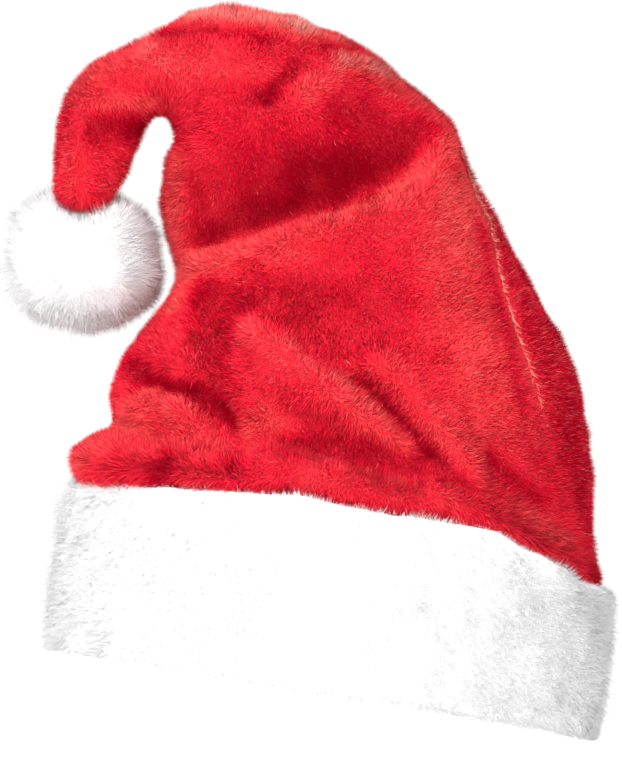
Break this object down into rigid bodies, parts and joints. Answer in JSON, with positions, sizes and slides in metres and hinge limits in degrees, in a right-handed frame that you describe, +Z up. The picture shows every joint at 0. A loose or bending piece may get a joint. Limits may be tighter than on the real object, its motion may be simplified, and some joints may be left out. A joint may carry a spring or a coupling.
{
  "type": "santa hat",
  "caption": "Soft red plush winter hat: a cone that bends over into a hanging tail, with a wide white band round the head opening and a white pompom on the tail.",
  "frame": {"origin": "middle of the whole hat's box, on the floor that its band stands on", "axes": "+X to the side away from the hanging tail, +Y to the back, +Z up through the crown; the front faces -Y"},
  "size_m": [0.268, 0.1952, 0.2724],
  "materials": {
    "red_plush": "saturated red long-pile plush, dark in its folds and brighter at the tips of the pile",
    "white_plush": "soft white long-pile plush"
  },
  "bodies": {
    "root": {"crown": "red_plush", "band": "white_plush", "pompom": "white_plush"}
  },
  "joints": []
}
